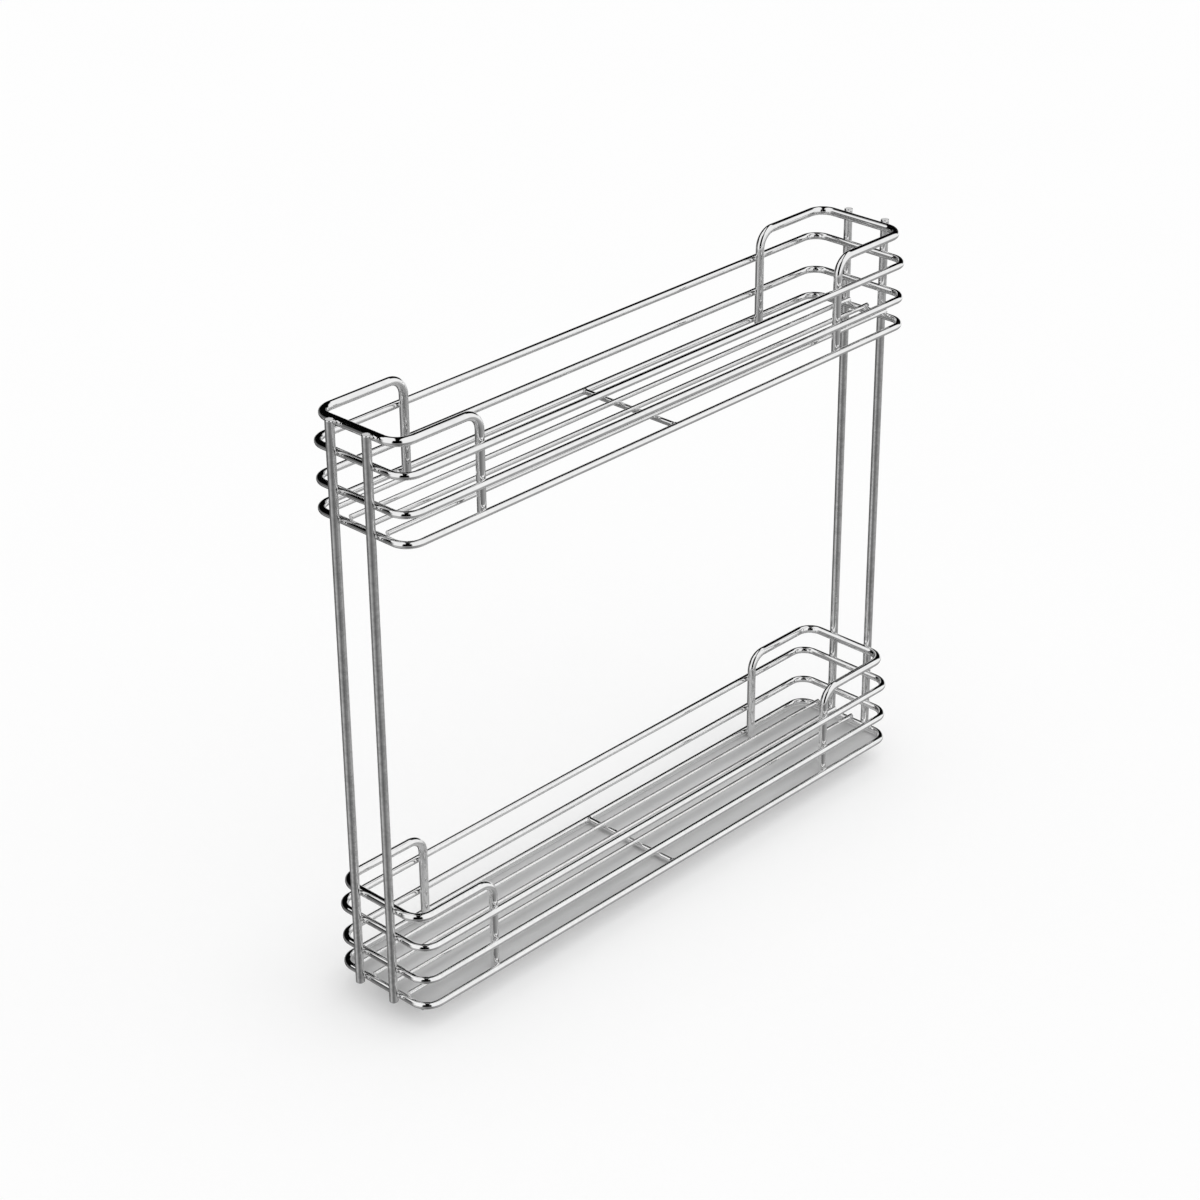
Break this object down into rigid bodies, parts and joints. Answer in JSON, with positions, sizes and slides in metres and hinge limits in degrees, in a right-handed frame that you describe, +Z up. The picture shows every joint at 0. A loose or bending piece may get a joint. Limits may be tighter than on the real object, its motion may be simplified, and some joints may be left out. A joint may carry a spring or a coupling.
{
  "type": "pull-out bottle rack",
  "caption": "Narrow pull-out bottle rack: chromed wire baskets on uprights over a full-extension floor slide.",
  "frame": {"origin": "middle of the underside of the cabinet rail, on the cabinet's floor", "axes": "+X the way the rack pulls out, +Y to the right seen from the front, +Z up"},
  "size_m": [0.4972, 0.089, 0.4245],
  "materials": {
    "chrome_wire": "bright chrome plating on round wire",
    "upright_wire": "chrome plating on round wire",
    "plate_paint": "satin grey powder coat",
    "zinc_steel": "bright zinc plating",
    "cage_steel": "plain cold-rolled strip",
    "ball_steel": "polished bearing steel",
    "bumper_rubber": "matt black rubber"
  },
  "bodies": {
    "cabinet_side": {"cabinet_rail": "zinc_steel", "rear_bumper": "bumper_rubber"},
    "outer_cages": {"outer_ball_cages": "cage_steel", "outer_balls": "ball_steel"},
    "middle": {"middle_rail": "zinc_steel"},
    "inner_cages": {"inner_ball_cages": "cage_steel", "inner_balls": "ball_steel"},
    "rack": {"lower_basket_bottom_ring": "chrome_wire", "lower_basket_middle_ring": "chrome_wire", "lower_basket_top_ring": "chrome_wire", "lower_basket_end_guards": "chrome_wire", "lower_basket_cross_wire": "chrome_wire", "lower_basket_floor_wire_1": "chrome_wire", "lower_basket_floor_wire_2": "chrome_wire", "lower_basket_floor_wire_3": "chrome_wire", "lower_basket_floor_wire_4": "chrome_wire", "upper_basket_bottom_ring": "chrome_wire", "upper_basket_middle_ring": "chrome_wire", "upper_basket_top_ring": "chrome_wire", "upper_basket_end_guards": "chrome_wire", "upper_basket_cross_wire": "chrome_wire", "upper_basket_floor_wire_1": "chrome_wire", "upper_basket_floor_wire_2": "chrome_wire", "upper_basket_floor_wire_3": "chrome_wire", "upper_basket_floor_wire_4": "chrome_wire", "rear_left_upright": "upright_wire", "rear_right_upright": "upright_wire", "front_left_upright": "upright_wire", "front_right_upright": "upright_wire", "base_plate": "plate_paint", "plate_nuts": "zinc_steel", "rack_rail": "zinc_steel"}
  },
  "joints": [
    {"name": "rack_pull", "type": "slide", "parent": "cabinet_side", "child": "rack", "axis": [1, 0, 0], "range_m": [0, 0.45]},
    {"name": "middle_slide", "type": "slide", "parent": "cabinet_side", "child": "middle", "axis": [1, 0, 0], "range_m": [0, 0.225]},
    {"name": "outer_cage_slide", "type": "slide", "parent": "cabinet_side", "child": "outer_cages", "axis": [1, 0, 0], "range_m": [0, 0.1125]},
    {"name": "inner_cage_slide", "type": "slide", "parent": "cabinet_side", "child": "inner_cages", "axis": [1, 0, 0], "range_m": [0, 0.3375]}
  ],
  "couplings": [
    {"joint": "middle_slide", "follows": "rack_pull", "ratio": 0.5},
    {"joint": "outer_cage_slide", "follows": "rack_pull", "ratio": 0.25},
    {"joint": "inner_cage_slide", "follows": "rack_pull", "ratio": 0.75}
  ]
}
